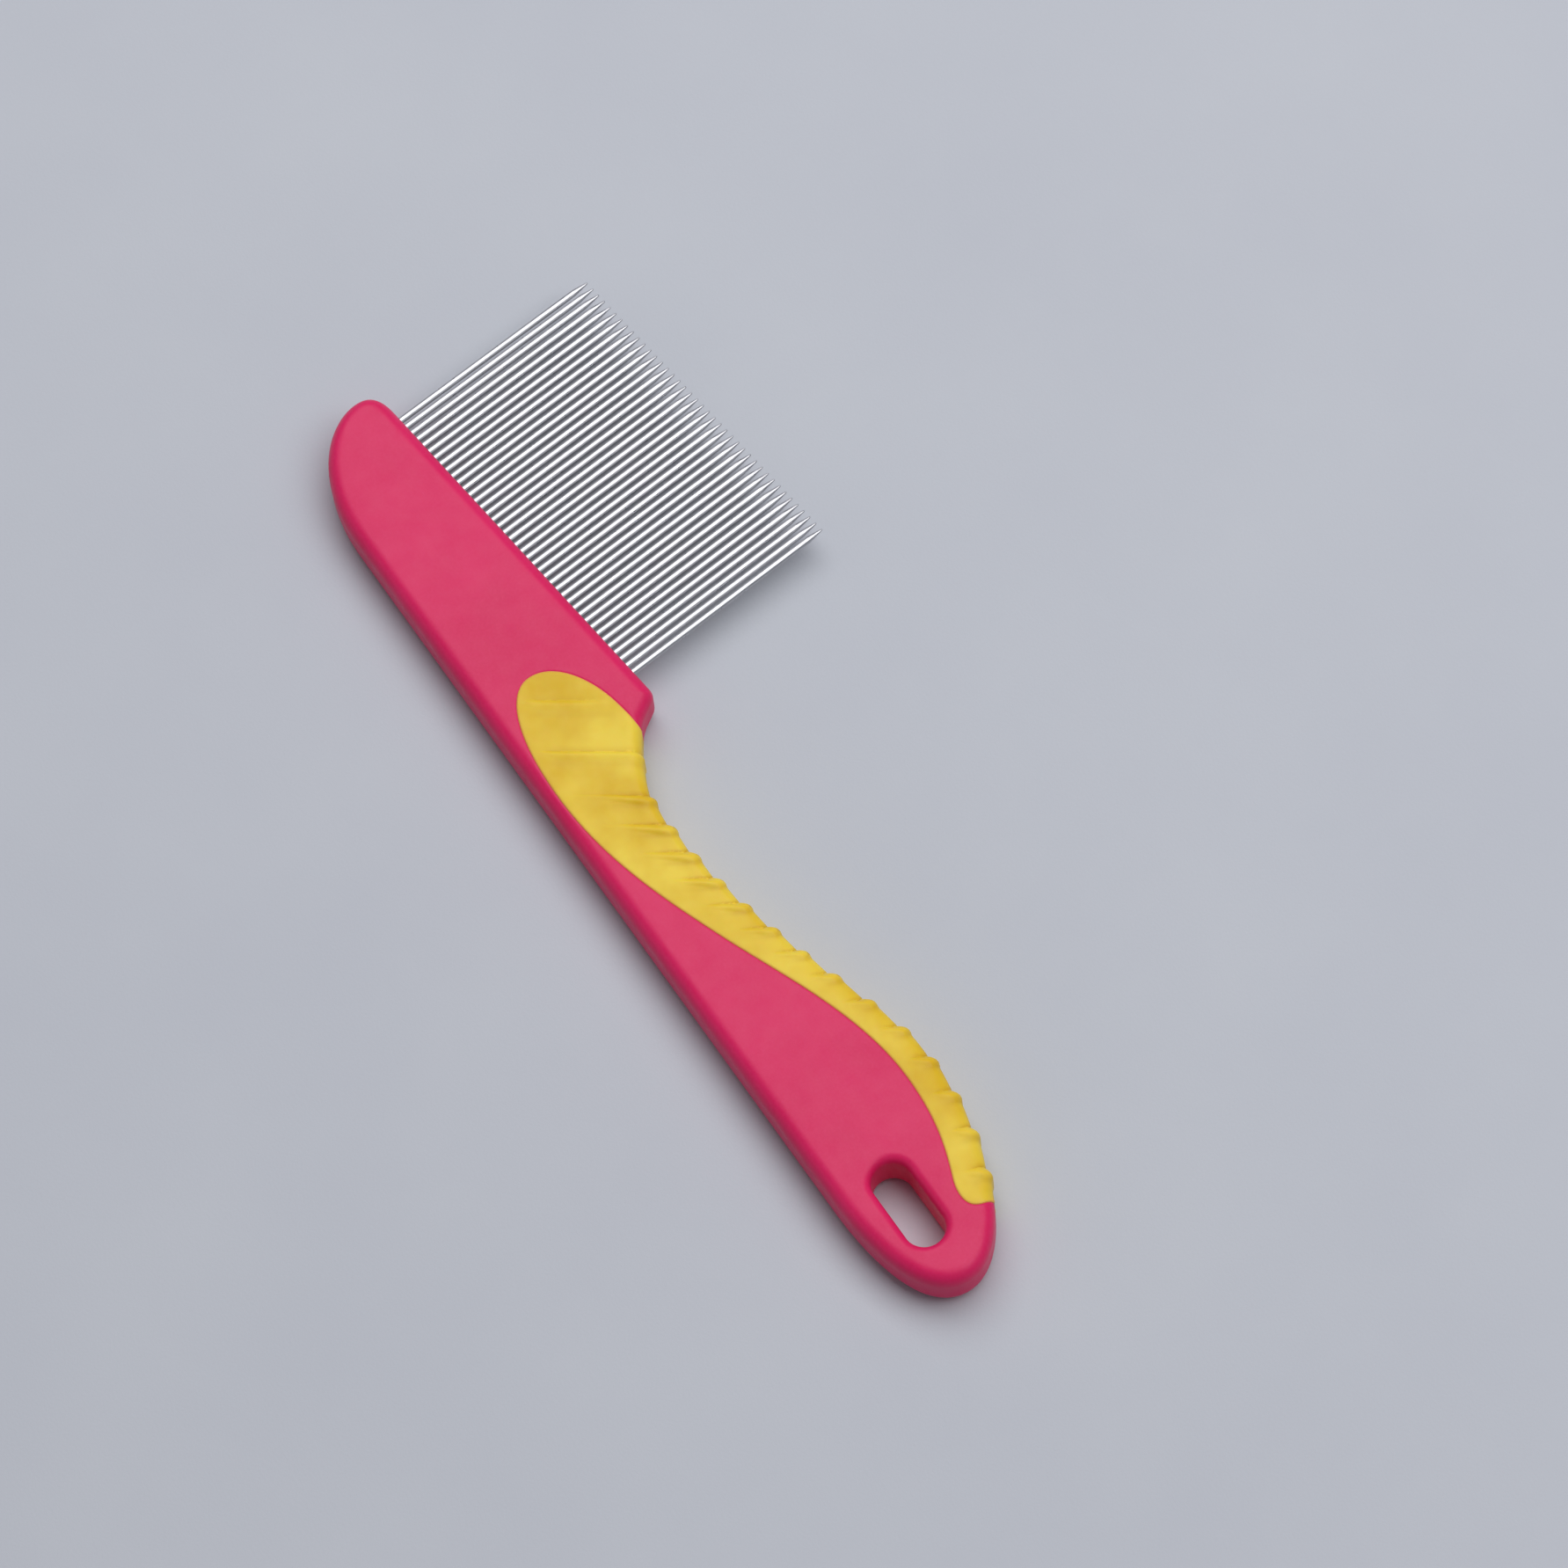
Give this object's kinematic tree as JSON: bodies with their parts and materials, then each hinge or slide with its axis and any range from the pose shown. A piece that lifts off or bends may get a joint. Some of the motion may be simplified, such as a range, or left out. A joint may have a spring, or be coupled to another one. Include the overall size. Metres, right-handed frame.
{
  "type": "flea comb",
  "caption": "Long-toothed flea comb: flat pink plastic handle with a ribbed yellow soft grip, a hanging slot, and a lift-out cassette of round steel pins.",
  "frame": {"origin": "centre of the bounding box in plan, on the plane of the back face that the comb lies on", "axes": "+X along the handle from the comb head to the hanging slot, +Y across it the way the pins point, +Z out of the front face"},
  "size_m": [0.183, 0.0628, 0.008],
  "materials": {
    "handle": "satin",
    "soft_grip": "satin",
    "carrier": "satin",
    "steel": "polished"
  },
  "bodies": {
    "handle": {"body": "handle", "grip": "soft_grip"},
    "cassette": {"pin_carrier": "carrier", "pin_01": "steel", "pin_02": "steel", "pin_03": "steel", "pin_04": "steel", "pin_05": "steel", "pin_06": "steel", "pin_07": "steel", "pin_08": "steel", "pin_09": "steel", "pin_10": "steel", "pin_11": "steel", "pin_12": "steel", "pin_13": "steel", "pin_14": "steel", "pin_15": "steel", "pin_16": "steel", "pin_17": "steel", "pin_18": "steel", "pin_19": "steel", "pin_20": "steel", "pin_21": "steel", "pin_22": "steel", "pin_23": "steel", "pin_24": "steel", "pin_25": "steel", "pin_26": "steel", "pin_27": "steel", "pin_28": "steel", "pin_29": "steel", "pin_30": "steel", "pin_31": "steel", "pin_32": "steel", "pin_33": "steel", "pin_34": "steel", "pin_35": "steel", "pin_36": "steel", "pin_37": "steel", "pin_38": "steel", "pin_39": "steel", "pin_40": "steel", "pin_41": "steel"}
  },
  "joints": [
    {"name": "cassette_pull", "type": "slide", "parent": "handle", "child": "cassette", "axis": [-0.108, 0.9942, 0], "range_m": [0, 0.014]}
  ]
}
